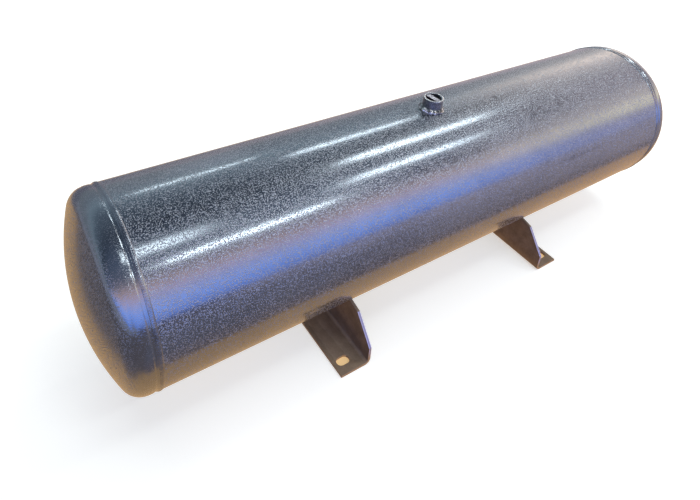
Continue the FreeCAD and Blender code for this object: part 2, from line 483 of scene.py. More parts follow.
def beads_of(bench, place, size):
    """The coat's tiny beads: 1 on a bead and 0 between them."""
    return bench.noise(place, size, detail=1.0).between(0.50, 0.66)


def drifting(bench, place, dark, light):
    """A colour that wanders between two others over a hand's width, with finer cloud in it."""
    slow = bench.noise(place, 60 * MM, detail=3.0, roughness=0.6)
    fine = bench.noise(place, 7 * MM, detail=2.0)
    return bench.blend((slow * 0.65 + fine * 0.35).between(0.3, 0.7), dark, light)


print("enamel tools ready")

# %% [markdown]
# ## Marks and painted light on the shell
#
# Every tank that has been handled carries a few scuffs. Each one is a short straight line
# on the unrolled sheet, so the material unrolls itself first: the angle over the shell
# times its radius gives the distance around. One table lists the lines, from x and degrees
# to x and degrees, with their width and strength. The other lists soft clouds, with where
# they are, how far they reach along and around, and their strength. On the front and the
# top, from 8 to 103 degrees, the clouds are painted shade: dark bands and patches in the
# mirror image of the room, mostly beside the streaks of the lamps. The one with a minus is
# a painted highlight, a pale patch for the reflection of a bright light. Round the back and
# under the belly the clouds are dirt, and beside the feet's welds they darken the shell
# strongly. On the short skirts of the heads the coat lies calmer than on the sheet.

# %% Paint the tank's skin
SCUFFS = [
    (-240, 44, -240, 37, 0.8, 0.5), (-50, 64, -52, 60, 0.9, 0.6), (0, 55, 2, 50, 0.9, 0.5),
    (275, 66, 300, 50, 0.9, 0.7), (280, 35, 279, 20, 1.6, 0.35), (340, 35, 341, 25, 1.6, 0.35),
    (400, 55, 401, 55, 1.6, 1.0), (-480, 60, -478, 57, 1.0, 0.8), (110, 30, 128, 24, 0.8, 0.5),
    (-120, 118, -70, 112, 0.9, 0.6), (210, 150, 214, 128, 1.0, 0.5),
    (-330, -145, -290, -138, 1.2, 0.6),
]

# Rows from 8 to 103 degrees are painted shade, and the row with a minus is a painted highlight. The rest
# are dirt, and the four at 217 mm darken the shell beside the feet's welds.
CLOUDS_AND_PAINTED_LIGHT = [
    (100, 81, 85, 3.0, 0.5), (-60, 49, 95, 2.5, 0.4), (230, 61, 90, 8, 0.4), (-130, 77, 60, 4, 0.3),
    (-200, 8, 60, 8, 0.3), (270, 20, 60, 1.5, 0.4), (-30, 90, 35, 8, 0.5), (-400, 103, 55, 6, -0.45),
    (-440, 72, 90, 10, 0.3), (300, -160, 120, 20, 0.4), (-250, 150, 100, 15, 0.4), (60, -60, 90, 15, 0.3),
    (-217, -46, 24, 6, 1.3), (-217, -62, 18, 14, 1.1), (217, -46, 22, 5, 1.2), (217, -62, 18, 14, 1.1),
]
SKIRT_STARTS = (SEAM_X - 2 * MM, SEAM_X + 4 * MM)
SKIRT_ENDS = (TIP_X - 42 * MM, TIP_X - 28 * MM)


def line_mask(along, around, scuff):
    """1 on a scuff and 0 away from it: the distance to a line on the unrolled sheet."""
    x0, a0, x1, a1, width, strength = scuff
    start = (x0 * MM, math.radians(a0) * SHELL_R)
    run = (x1 * MM - start[0], math.radians(a1) * SHELL_R - start[1])
    length = max(math.hypot(*run), 0.1 * MM)
    unit = (run[0] / length, run[1] / length)
    side_x, side_y = along - start[0], around - start[1]
    ahead = side_x * unit[0] + side_y * unit[1]
    off = (side_x * -unit[1] + side_y * unit[0]).size()
    beyond = (ahead - length / 2).size() - length / 2
    return (1 - off.maths("MAXIMUM", beyond).between(0.1 * width * MM, width * MM)) * strength


def oval(along, around, stain):
    """A soft oval on the unrolled sheet."""
    x, degrees, reach, spread, strength = stain
    off_x = (along - x * MM) * (1 / (reach * MM))
    off_around = (around - math.radians(degrees) * SHELL_R) * (1 / (math.radians(spread) * SHELL_R))
    return (off_x * off_x + off_around * off_around).between(2.2, 0.0) * strength


def tank_skin_material():
    material, bench, place = new_material("tank_skin")
    along, depth, height = bench.split(place)
    around = (height - AXIS_Z).maths("ARCTAN2", depth * -1.0) * SHELL_R
    lines = [line_mask(along, around, scuff) for scuff in SCUFFS]
    scuffed = functools.reduce(lambda total, line: total.maths("MAXIMUM", line), lines)
    colour = drifting(bench, place, (0.220, 0.235, 0.258), (0.280, 0.293, 0.312))
    reach = along.size()
    calm = reach.between(*SKIRT_STARTS) - reach.between(*SKIRT_ENDS)
    beads = beads_of(bench, place, GRAIN) * (1 - calm * 0.7)
    slow = bench.noise(place, 25 * MM, detail=2.0)
    # All clouds summed: painted shade and a painted highlight on the front and top, dirt and darkening
    # elsewhere.
    cloud = functools.reduce(operator.add, [oval(along, around, stain) for stain in CLOUDS_AND_PAINTED_LIGHT])
    clumps = bench.noise(place, 6 * MM, detail=3.0, roughness=0.7).between(0.38, 0.62)
    # Darkening from the clouds: painted shade on the front and top, dirt on the back and belly, dark
    # clouds by the feet.
    dark_clouds_and_painted_shade = (cloud.maths("MAXIMUM", 0.0) * clumps).maths("MINIMUM", 1.0)
    darkened_with_painted_shade = bench.blend(dark_clouds_and_painted_shade, colour, (0.06, 0.062, 0.07))
    # Lightening from the cloud with a minus: a painted highlight.
    paled_with_painted_light = bench.blend(cloud.maths("MINIMUM", 0.0).size(), darkened_with_painted_shade, (0.52, 0.52, 0.56))
    dotted = bench.blend(beads * (1 - dark_clouds_and_painted_shade), paled_with_painted_light, (0.41, 0.42, 0.44))
    pale = bench.blend(scuffed * 0.5, dotted, (0.62, 0.62, 0.62))
    roughness = slow * 0.06 + 0.12 + beads * 0.50 + scuffed * 0.18
    bump = raised(bench, beads + scuffed, BEAD_DEPTH)
    put_steel(bench, pale, 0.95 - beads * 0.17, roughness, bump)
    return material


tank_skin = tank_skin_material()
print("tank skin with", len(SCUFFS), "scuffs and", len(CLOUDS_AND_PAINTED_LIGHT), "clouds")

# %% [markdown]
# ## Welds, port and plug
#
# Weld metal is smoother than the rolled sheet between its ripples, so the enamel lies
# smoother on it. The port's weld is patchy, dark scale beside bare metal, and the hand
# welds under the shell are near black and dull. On the port the coat is thin: the wrench
# has rubbed it off the outer part of the rim, so bare steel shows wherever the height says
# rim, and the bore below the rim is near black. The plug has a bright top to its bar, and
# everything below that is near black, the two hollows beside it too.

# %% Mix the weld and port finishes
RIM_WEAR = 0.9 * MM
PORT_BORE_R = node_span("port_plug", 0)[1] + 0.1 * MM
BARE_STEEL = (0.62, 0.62, 0.60)


def weld_material(name, dark, light, cloud_size, roughness, bead_gloss, bead_depth, metallic, gloss):
    """Weld metal that goes from a dark colour to a light one, with the coat's beads on it."""
    material, bench, place = new_material(name)
    cloud = bench.noise(place, cloud_size, detail=2.0)
    colour = bench.blend(cloud.between(0.36, 0.62), dark, light)
    beads = beads_of(bench, place, GRAIN * 0.9)
    patchy = cloud * 0.12 + (roughness - 0.06) + beads * bead_gloss
    bump = raised(bench, beads, bead_depth)
    put_steel(bench, colour, metallic, patchy, bump, **{"Specular IOR Level": gloss})
    return material


def port_material():
    material, bench, place = new_material("port_steel")
    along, depth, height = bench.split(place)
    cloud = bench.noise(place, 2.5 * MM, detail=3.0)
    beads = beads_of(bench, place, GRAIN)
    worn = (height + cloud * 0.8 * MM).between(PORT_TOP - 0.2 * RIM_WEAR, PORT_TOP + 0.5 * RIM_WEAR)
    coat = bench.blend(cloud * 0.5 + beads * 0.6, (0.110, 0.115, 0.125), (0.400, 0.400, 0.430))
    off_middle = (along * along + depth * depth).maths("SQRT")
    outside = off_middle.between(PORT_BORE_R + MM, PORT_BORE_R + 2 * MM)
    # Inside the bore, below the rim, the colour is near black.
    bore = ((PORT_TOP - height).between(0.5 * MM, 1.3 * MM) - outside).maths("MAXIMUM", 0.0)
    worn = worn * off_middle.between(PORT_BORE_R + 1.6 * MM, PORT_BORE_R + 2.4 * MM)
    colour = bench.blend(bore, bench.blend(worn, coat, BARE_STEEL), (0.02, 0.02, 0.022))
    turning = bench.node("ShaderNodeTexNoise", {"noise_dimensions": "1D"}, {"W": height, "Scale": 2200.0})
    bump = raised(bench, cloud + turning * 0.4, 0.10 * MM)
    put_steel(bench, colour, 0.85 - bore * 0.5, beads * 0.2 + 0.3 - worn * 0.05, bump)
    return material


def plug_material():
    material, bench, place = new_material("plug")
    height = bench.split(place)[2]
    cloud = bench.noise(place, 2 * MM, detail=3.0)
    worn = (height + (cloud - 0.5) * 1.2 * MM).between(PLUG_TOP - 1.0 * MM, PLUG_TOP - 0.3 * MM)
    # Everything below the bar's worn top, the two hollows beside the bar too, is near black.
    low_near_black = bench.blend(cloud.between(0.35, 0.7), (0.008, 0.008, 0.010), (0.030, 0.028, 0.030))
    bare = bench.blend(cloud.between(0.4, 0.6), (0.26, 0.25, 0.27), (0.62, 0.60, 0.63))
    colour = bench.blend(worn, low_near_black, bare)
    put_steel(bench, colour, worn * 0.5 + 0.2, 0.75 - worn * 0.35, raised(bench, cloud, 0.12 * MM))
    return material


girth_finish = weld_material(
    "weld_bead", (0.20, 0.21, 0.235), (0.27, 0.285, 0.31), 9 * MM, 0.19, 0.26, 0.07 * MM, 0.9, 0.5)
port_weld_finish = weld_material(
    "port_weld", (0.05, 0.055, 0.06), (0.66, 0.65, 0.62), 3 * MM, 0.14, 0.10, 0.05 * MM, 0.9, 0.5)
# The hand welds under the shell are near black and dull.
foot_weld_finish = weld_material(
    "near_black_weld", (0.008, 0.008, 0.007), (0.060, 0.055, 0.050), 4 * MM, 0.6, 0.10, 0.20 * MM, 0.2, 0.12)
port_steel = port_material()
plug_finish = plug_material()
print("weld, port and plug finishes ready")

# %% [markdown]
# ## The feet
#
# The feet are sheared and bent from plate that kept its mill scale under the paint: brown
# black, dull and a little mottled. Where a face looks up, and low down by the floor, the
# plate is paler: dust, and painted light for the light that falls on the flange. Their
# sheared edges are another thing. Shears leave a bright band where they cut and a dull torn
# one where the metal broke, so an upright edge shows two pale stripes with a dark line
# between them. The stripes run along the edge because they depend only on how deep they lie
# in the plate. Down by the floor the edges are browner.

# %% Mix the foot finish
FOOT_BEND_TOP = 26 * MM
EDGE_FADE = (8 * MM, 30 * MM)


def foot_material(name, web_x):
    """The plate's finish. web_x is the middle of the upright plate of this foot."""
    material, bench, place = new_material(name)
    along, depth, height = bench.split(place)
    cloud = bench.noise(place, 9 * MM, detail=4.0, roughness=0.6)
    grain = bench.noise(place, 1.1 * MM, detail=2.0)
    patches = (cloud * 0.7 + grain * 0.3).between(0.3, 0.72)
    upright = bench.blend(patches, (0.075, 0.053, 0.038), (0.150, 0.108, 0.078))
    # Faces that look up, and the plate low down by the floor, are paler: dust, and painted light for the
    # light that falls on the flange.
    paled_with_painted_light = bench.blend(patches, (0.23, 0.165, 0.10), (0.33, 0.24, 0.15))
    facing_up = bench.split(bench.node("ShaderNodeNewGeometry", None, None, output=1))[2]
    low = ((FOOT_BEND_TOP - height) / FOOT_BEND_TOP).between(0.0, 1.0)
    dust_and_painted_light = facing_up.between(0.0, 0.9).maths("MAXIMUM", low * 0.5)
    scale = bench.blend(dust_and_painted_light, upright, paled_with_painted_light)
    cut = bench.node("ShaderNodeAttribute", {"attribute_name": "cut"}, None, output=2)
    from_middle = (along - web_x).size()
    torn = 1 - (from_middle - 0.5 * MM).size().between(0.2 * MM, 0.7 * MM)
    striped = bench.blend(torn * 0.75, (0.58, 0.56, 0.68), (0.16, 0.14, 0.16))
    edge = bench.blend(height.between(*EDGE_FADE), (0.40, 0.31, 0.20), striped)
    colour = bench.blend(cut, scale, edge)
    roughness = cloud * 0.15 + 0.50
    put_steel(bench, colour, cut * 0.65 + 0.14, roughness, raised(bench, grain + cloud, 0.10 * MM))
    return material


web_middle = (WEB_FACES[1] + WEB_FACES[2]) / 2
left_plate_finish = foot_material("foot_plate", -web_middle)
right_plate_finish = foot_material("foot_plate_right", web_middle)
print(f"plate finish with stripes about the middle of the web at {web_middle:.4f}")

# %% [markdown]
# ## Skins turned about the axis
#
# Shell and heads are shapes of revolution, so one function turns them all from a profile.
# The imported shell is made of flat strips, which is fine for weight and contact, but its
# mirror images would show every strip. The skins made here have a point for every degree.
# They also carry what rolling and pressing leave in a real sheet: a waviness of a tenth of
# a millimetre that makes the streaks of light run a little unevenly, and shallow dents.


# %% Turn a profile into a skin
TURNS = 360


def finished_mesh(name, points, faces, sharp_degrees=40):
    """A smooth mesh with doubles merged, faces outwards and its real corners kept sharp."""
    work = bmesh.new()
    vertices = [work.verts.new(point) for point in points]
    for face in faces:
        work.faces.new([vertices[index] for index in face])
    bmesh.ops.remove_doubles(work, verts=work.verts, dist=1e-7)
    bmesh.ops.recalc_face_normals(work, faces=work.faces)
    mesh = bpy.data.meshes.new(name)
    work.to_mesh(mesh)
    work.free()
    mesh.shade_smooth()
    mesh.set_sharp_from_angle(angle=math.radians(sharp_degrees))
    return mesh


def turned_grid(profile, turns=TURNS, unevenness=None):
    """Turns (place, radius) pairs about an axis: places, radii and angles as grids."""
    places = np.array([p[0] for p in profile])[:, None].repeat(turns, 1)
    radii = np.array([p[1] for p in profile])[:, None].repeat(turns, 1)
    angles = (np.arange(turns) * math.tau / turns)[None, :].repeat(len(profile), 0)
    if unevenness is not None:
        radii = radii + unevenness(places, angles, radii)
    return places, radii, angles


def ring_faces(rings, turns, closed):
    """The faces between rings of points, and from the last back to the first if closed."""
    pairs = [(ring, ring + 1) for ring in range(rings - 1)]
    if closed:
        pairs.append((rings - 1, 0))
    faces = []
    for first, second in pairs:
        for step in range(turns):
            after = (step + 1) % turns
            faces.append((first * turns + step, first * turns + after,
                          second * turns + after, second * turns + step))
    return faces


def tank_points(places, radii, angles):
    """Places, radii and angles about the tank's axis, made into points."""
    stacked = np.stack([places, -radii * np.cos(angles), AXIS_Z + radii * np.sin(angles)], -1)
    return stacked.reshape(-1, 3).tolist()


def port_points(places, radii, angles):
    """The same about the port's upright axis."""
    stacked = np.stack([radii * np.cos(angles), radii * np.sin(angles), places], -1)
    return stacked.reshape(-1, 3).tolist()


def add_object(name, mesh):
    made = bpy.data.objects.new(name, mesh)
    bpy.context.scene.collection.objects.link(made)
    return made


def settle(piece, slot, finish, *nodes):
    """Gives a piece its finish, hides these nodes of the construction and hangs it on the tank's body."""
    if finish is not None:
        piece.data.materials.clear()
        piece.data.materials.append(finish)
    if nodes:
        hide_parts(*nodes)
    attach(piece, BODY)
    print(f"{piece.name}: {len(piece.data.polygons)} faces")


print("turning tools ready")

# %% [markdown]
# ## The rolled shell
#
# The shell is a sheet rolled into a tube. Its outside gets a ring of points every eight
# millimetres, and its inside, which nobody sees, only the two at its ends. A table lists
# the sheet's few dents and pimples: where they are, how far they reach and how far they
# stand out, with a minus for a dent.

# %% Make the shell's skin
SHELL_RING_STEP = 8 * MM
SHEET_WAVE = 0.03 * MM
WAVES = [(3, 5.1, 0.4), (5, 8.3, 2.1), (2, 13.7, 4.0), (7, 3.9, 1.3), (4, 19.0, 5.2)]
SHELL_MARKS = [
    (-243, 41, 14, -0.10), (178, 66, 16, -0.12), (-330, 12, 18, -0.14), (395, 24, 15, 0.10),
    (60, 140, 22, -0.25), (-410, 205, 18, -0.20), (350, 250, 20, -0.22), (-150, 300, 16, -0.15),
]


def sheet_unevenness(places, angles, radii):
    """How far the sheet stands out from a true cylinder."""
    shift = np.zeros_like(places)
    for around, along, phase in WAVES:
        shift += SHEET_WAVE * np.sin(around * angles + along * places + phase)
    for x, degrees, reach, height in SHELL_MARKS:
        aside = (angles - math.radians(degrees) + math.pi) % math.tau - math.pi
        distance = np.hypot(places - x * MM, aside * SHELL_R) / (reach * MM)
        shift += height * MM * np.exp(-distance ** 2)
    return np.where(radii > SHELL_R - WALL / 2, shift, 0)


def make_shell_skin():
    rings = round(2 * SEAM_X / SHELL_RING_STEP) + 1
    outside = [(x, SHELL_R) for x in np.linspace(-SEAM_X, SEAM_X, rings)]
    inside = [(SEAM_X, SHELL_R - WALL), (-SEAM_X, SHELL_R - WALL)]
    grid = turned_grid(outside + inside, TURNS, sheet_unevenness)
    faces = ring_faces(rings + 2, TURNS, closed=True)
    return add_object("shell_skin", finished_mesh("shell_skin", tank_points(*grid), faces))


shell_skin = make_shell_skin()
print("shell skin:", len(shell_skin.data.polygons), "faces")

# %% [markdown]
# ## The dished heads
#
# Each head is pressed from one disc: a shallow crown, a tight knuckle and a short skirt
# that meets the shell. The profile is a line and two arcs, with the shallow groove that
# lies beside the weld. Pressing leaves soft creases where the skirt was drawn in, and they
# break the mirror image, so they are real shape here and not only shading. The two heads
# get theirs in different places.

# %% Make the heads' skins
GROOVE_X = SEAM_X + 9.1 * MM
GROOVE_HALF = 1.7 * MM
GROOVE_DEPTH = 0.8 * MM
HEAD_STEP = 0.9 * MM
HEAD_WAVE = 0.10 * MM
CREASES = {
    -1: [(569.5, 26, 33, 2.4, -0.42), (558.5, 44, 5, 1.8, -0.30), (563.0, 150, 40, 2.5, -0.30)],
    1: [(566.0, 205, 45, 2.4, -0.40), (571.0, 320, 25, 2.2, -0.35)],
}


def arc(centre, radius, start, stop, step):
    """Points along an arc, about a step apart."""
    count = max(2, round(abs(stop - start) * radius / step) + 1)
    angles = np.linspace(start, stop, count)
    return [(centre[0] + radius * math.cos(a), centre[1] + radius * math.sin(a)) for a in angles]


def head_profile(thickness, step):
    """The head's outline from its skirt to its pole, moved inwards by a thickness."""
    crown_centre = TIP_X - CROWN_R
    knuckle_y = SHELL_R - KNUCKLE_R
    knuckle_x = crown_centre + math.sqrt((CROWN_R - KNUCKLE_R) ** 2 - knuckle_y ** 2)
    meeting = math.atan2(knuckle_y, knuckle_x - crown_centre)
    skirt_rings = round((knuckle_x - SEAM_X) / step) + 1
    skirt = [(x, SHELL_R - thickness) for x in np.linspace(SEAM_X, knuckle_x, skirt_rings)]
    knuckle = arc((knuckle_x, knuckle_y), KNUCKLE_R - thickness, math.pi / 2, meeting, step)
    crown = arc((crown_centre, 0), CROWN_R - thickness, meeting, 0, 3 * step)
    return skirt + knuckle[1:] + crown[1:-1] + [(TIP_X - thickness, 0)]


def head_unevenness(side):
    """How far a head stands out from its true profile."""
    def shift(places, angles, radii):
        reach = np.abs(places)
        total = -GROOVE_DEPTH * np.exp(-((reach - GROOVE_X) / GROOVE_HALF) ** 4)
        for x, degrees, spread, width, depth in CREASES[side]:
            aside = np.degrees((angles - math.radians(degrees) + math.pi) % math.tau - math.pi)
            wander = 1.2 * MM * np.sin(aside / 11 + x)
            near = (reach - x * MM - wander) / (width * MM)
            fading = 1 + np.exp((np.abs(aside) - spread) / 3)
            total += depth * MM * np.exp(-near ** 2) / fading
        total += HEAD_WAVE * np.sin(3 * angles + side) * np.clip((reach - SEAM_X) / (12 * MM), 0, 1)
        return total * np.clip((radii / SHELL_R - 0.4) / 0.4, 0, 1)
    return shift


def make_head_skin(node, side):
    outside = [(side * x, r) for x, r in head_profile(0, HEAD_STEP)]
    inside = [(side * x, r) for x, r in head_profile(WALL, 4 * HEAD_STEP)]
    outer = tank_points(*turned_grid(outside, TURNS, head_unevenness(side)))
    inner = tank_points(*turned_grid(inside, TURNS))
    faces = ring_faces(len(outside), TURNS, closed=False)
    start = len(outer)
    faces += [tuple(start + i for i in face) for face in ring_faces(len(inside), TURNS, closed=False)]
    for step in range(TURNS):
        after = (step + 1) % TURNS
        faces.append((step, after, start + after, start + step))
    name = f"{node}_skin"
    return add_object(name, pole_mesh(name, outer + inner, faces))


def pole_mesh(name, points, faces):
    """A mesh whose first and last rings may have shrunk to a point each."""
    keys = {}
    merged = [keys.setdefault(tuple(round(v, 8) for v in p), len(keys)) for p in points]
    kept = list(keys)
    clean = []
    for face in faces:
        corners = list(dict.fromkeys(merged[i] for i in face))
        if len(corners) > 2:
            clean.append(corners)
    return finished_mesh(name, kept, clean)


left_head_skin = make_head_skin("left_head", -1)
right_head_skin = make_head_skin("right_head", 1)
print("head skins:", len(left_head_skin.data.polygons), "faces each")

# %% [markdown]
# ## Weld beads that follow their seams
#
# A weld bead is a row of ripples, one for each small pool of metal that froze. It repeats
# and it follows a path, which is just what Geometry Nodes are for. A path mesh brings the
# centre line, and at every point three things: which way is out of the metal, which way is
# across the bead, and how full the bead is there. The tree resamples the path, sweeps a
# ring along it and then lays every point of the ring where the bead's section says. The
# ripples bow forwards in the middle, and slower noise makes the bead lumpy. A table holds
# what differs, with a column for the girth welds, which were run by machine and are even,
# and two for the feet's and the port's, which were run by hand and aren't.

# %% Build the weld bead's node tree
BEAD_SIZES = {
    "Half width": (3.4 * MM, 4.0 * MM, 3.9 * MM),
    "Height": (1.1 * MM, 0.9 * MM, 0.9 * MM),
    "Sunk": (0.8 * MM, 2.6 * MM, 2.6 * MM),
    "Crest power": (1.7, 1.0, 1.0),
    "Crest lean": (0.10, 0.0, 0.0),
    "Ripple pitch": (3.0 * MM, 2.3 * MM, 3.4 * MM),
    "Ripple depth": (0.16 * MM, 0.45 * MM, 0.8 * MM),
    "Ripple bow": (2.5 * MM, 1.5 * MM, 2.2 * MM),
    "Lump size": (9 * MM, 7 * MM, 5 * MM),
    "Lump height": (0.30 * MM, 0.9 * MM, 2.9 * MM),
    "Step": (0.9 * MM, 0.45 * MM, 0.35 * MM),
    "Section points": (30, 20, 26),
    "Seed": (0.0, 0.0, 0.0),
}
GIRTH, FOOT, PORT = range(3)


def start_tree(name, inputs):
    """A tree with named inputs from their usual values: the tree, its bench, their wires."""
    tree = bpy.data.node_groups.new(name, "GeometryNodeTree")
    tree.interface.new_socket("Geometry", in_out="INPUT", socket_type="NodeSocketGeometry")
    for label, value in inputs.items():
        kind = "NodeSocketInt" if isinstance(value, int) else "NodeSocketFloat"
        tree.interface.new_socket(label, in_out="INPUT", socket_type=kind).default_value = value
    tree.interface.new_socket("Finish", in_out="INPUT", socket_type="NodeSocketMaterial")
    tree.interface.new_socket("Geometry", in_out="OUTPUT", socket_type="NodeSocketGeometry")
    bench = Bench(tree)
    source = bench.node("NodeGroupInput").socket.node
    return tree, bench, {s.name: Wire(bench, s) for s in source.outputs if s.name}


def vector_maths(bench, operation, first, second):
    socket = "Scale" if operation == "SCALE" else 1
    return bench.node("ShaderNodeVectorMath", {"operation": operation}, {0: first, socket: second})


def stored(bench, geometry, name, kind, value):
    """Writes a value onto every point of the geometry under a name."""
    settings = {"data_type": kind, "domain": "POINT"}
    values = {"Geometry": geometry, "Name": name, "Value": value}
    return bench.node("GeometryNodeStoreNamedAttribute", settings, values)


def named(bench, name, kind="FLOAT"):
    """Reads such a value back."""
    return bench.node("GeometryNodeInputNamedAttribute", {"data_type": kind}, {"Name": name})


def finish_tree(bench, geometry, finish):
    """Every tree ends with real geometry that has its material."""
    real = bench.node("GeometryNodeRealizeInstances", None, {"Geometry": geometry})
    done = bench.node("GeometryNodeSetMaterial", None, {"Geometry": real, "Material": finish})
    bench.node("NodeGroupOutput", None, {"Geometry": done})


def sweep_ring(bench, given):
    """The swept ring. Each point knows its centre, how far along it is and its place across."""
    path = bench.node("GeometryNodeMeshToCurve", None, {"Mesh": given["Geometry"]})
    values = {"Curve": path, "Length": given["Step"]}
    path = bench.node("GeometryNodeResampleCurve", {"mode": "LENGTH"}, values)
    centre = bench.node("GeometryNodeInputPosition")
    path = stored(bench, path, "centre", "FLOAT_VECTOR", centre)
    run = bench.node("GeometryNodeSplineParameter", None, None, output=1)
    path = stored(bench, path, "run", "FLOAT", run)
    values = {"Resolution": given["Section points"], "Radius": 1.0}
    ring = bench.node("GeometryNodeCurvePrimitiveCircle", None, values)
    ring_x, ring_y, _ = bench.split(bench.node("GeometryNodeInputPosition"))
    ring = stored(bench, ring, "across", "FLOAT", ring_x)
    ring = stored(bench, ring, "rise", "FLOAT", ring_y)
    values = {"Curve": path, "Profile Curve": ring, "Fill Caps": True}
    return bench.node("GeometryNodeCurveToMesh", None, values)


def build_bead_tree():
    usual = {label: sizes[GIRTH] for label, sizes in BEAD_SIZES.items()}
    tree, bench, given = start_tree("weld_bead", usual)
    swept = sweep_ring(bench, given)
    across, rise, full = named(bench, "across"), named(bench, "rise"), named(bench, "full")
    centre = named(bench, "centre", "FLOAT_VECTOR")
    bowed = named(bench, "run") + across * across * given["Ripple bow"]
    phase = (bowed / given["Ripple pitch"]).maths("FRACT")
    ripple = phase * (1 - phase) * 4.0 * given["Ripple depth"]
    noise_values = {"Vector": centre, "W": given["Seed"], "Scale": 1.0 / given["Lump size"]}
    noise_kind = {"noise_dimensions": "4D"}
    lump = (bench.node("ShaderNodeTexNoise", noise_kind, noise_values) - 0.5) * 2.0 * given["Lump height"]
    above = rise.maths("MAXIMUM", 0.0).maths("POWER", given["Crest power"])
    below = rise.maths("MINIMUM", 0.0)
    lift = (above * (given["Height"] + ripple + lump) + below * given["Sunk"]) * full
    spread = across * (1 + lump * 0.5 / given["Half width"]) + above * given["Crest lean"]
    aside = spread * given["Half width"] * full
    sideways = vector_maths(bench, "SCALE", named(bench, "side", "FLOAT_VECTOR"), aside)
    outwards = vector_maths(bench, "SCALE", named(bench, "out", "FLOAT_VECTOR"), lift)
    moved = vector_maths(bench, "ADD", sideways, outwards)
    place = vector_maths(bench, "ADD", centre, moved)
    laid = bench.node("GeometryNodeSetPosition", None, {"Geometry": swept, "Position": place})
    smooth = bench.node("GeometryNodeSetShadeSmooth", None, {"Geometry": laid})
    finish_tree(bench, smooth, given["Finish"])
    return tree


bead_tree = build_bead_tree()
print("bead tree:", len(bead_tree.nodes), "nodes")

# %% [markdown]
# ## Paths for the beads
#
# Every weld lies in a corner or on a seam that the construction fixes, so its path follows
# from the same sizes. Round the port, the corner rises and falls with the shell's curve.
# Under the shell, each foot has one fillet on either face. A path stops a little short of
# the plate's edge, where the bead also runs thin.

# %% Draw the paths
FOOT_LEG = 5 * MM
PORT_LEG = 5.5 * MM
WELD_HALF_SPAN = node_span("left_foot_outer_weld", 1)[1]
WELD_REACH = math.degrees(math.asin(WELD_HALF_SPAN / (SHELL_R + FOOT_LEG / 2)))
PORT_FULL_SIDE = math.radians(205)


def path_object(name, points, outs, sides, fulls, closed):
    """A line of points that carries the directions and the fullness that a bead needs."""
    mesh = bpy.data.meshes.new(name)
    edges = [(i, i + 1) for i in range(len(points) - 1)]
    if closed:
        edges.append((len(points) - 1, 0))
    mesh.from_pydata(points, edges, [])
    for label, vectors in (("out", outs), ("side", sides)):
        attribute = mesh.attributes.new(label, "FLOAT_VECTOR", "POINT")
        attribute.data.foreach_set("vector", np.array(vectors, float).ravel())
    attribute = mesh.attributes.new("full", "FLOAT", "POINT")
    attribute.data.foreach_set("value", np.array(fulls, float))
    return add_object(name, mesh)


def girth_path(name, x):
    """Round the shell. Across points away from the middle of the tank."""
    angles = np.arange(250, 610, 1.0)
    points = [on_tank(x, degrees) for degrees in angles]
    outs = [(point - Vector((x, 0, AXIS_Z))).normalized() for point in points]
    sides = [(math.copysign(1, x), 0, 0)] * len(points)
    return path_object(name, points, outs, sides, [1] * len(points), closed=True)


def corner_path(name, spots, closed):
    """Along a corner. Each spot: the corner, the two ways out of it, the leg, the fullness."""
    points = [corner + (one + two) * leg / 2 for corner, one, two, leg, _ in spots]
    outs = [(one + two).normalized() for _, one, two, _, _ in spots]
    sides = [(one - two).normalized() for _, one, two, _, _ in spots]
    return path_object(name, points, outs, sides, [spot[-1] for spot in spots], closed)


def foot_path(name, face_x, facing):
    """Between a foot's upright face and the underside of the shell."""
    spots = []
    for degrees in np.linspace(-WELD_REACH, WELD_REACH, 90):
        turn = math.radians(degrees)
        down = Vector((0, math.sin(turn), -math.cos(turn)))
        corner = Vector((face_x, 0, AXIS_Z)) + down * SHELL_R
        fullness = min(1, 0.45 + 0.55 * (WELD_REACH - abs(degrees)) / 3)
        spots.append((corner, Vector((facing, 0, 0)), down, FOOT_LEG, fullness))
    return corner_path(name, spots, closed=False)


def port_path(name):
    """Round the foot of the port, where its wall meets the curve of the shell."""
    spots = []
    for degrees in range(90, 450, 4):
        turn = math.radians(degrees)
        away = Vector((math.cos(turn), math.sin(turn), 0))
        rise = math.sqrt(SHELL_R ** 2 - (PORT_R * away.y) ** 2)
        up = Vector((0, PORT_R * away.y, rise)).normalized()
        corner = Vector((PORT_R * away.x, PORT_R * away.y, AXIS_Z + rise))
        fullness = 0.84 + 0.32 * math.cos(turn - PORT_FULL_SIDE)
        spots.append((corner, away, up, PORT_LEG * fullness, fullness))
    return corner_path(name, spots, closed=True)


print(f"foot welds reach {WELD_REACH:.1f} degrees, web faces {WEB_FACES}")

# %% [markdown]
# ## The port
#
# The port is a turned half coupling: a plain barrel with a broken edge at its rim and a
# thread inside. Only the few turns above the plug show, and they are cut into the profile
# as rings rather than as a true helix, because nothing that can be seen tells the two
# apart. The plug is a disc with a wide bar across it to turn it by.

# %% Turn the port boss
THREAD_PITCH = 1.81 * MM
THREAD_DEPTH = 0.9 * MM
RIM_ROUND = 1.0 * MM
PORT_TURNS = 96


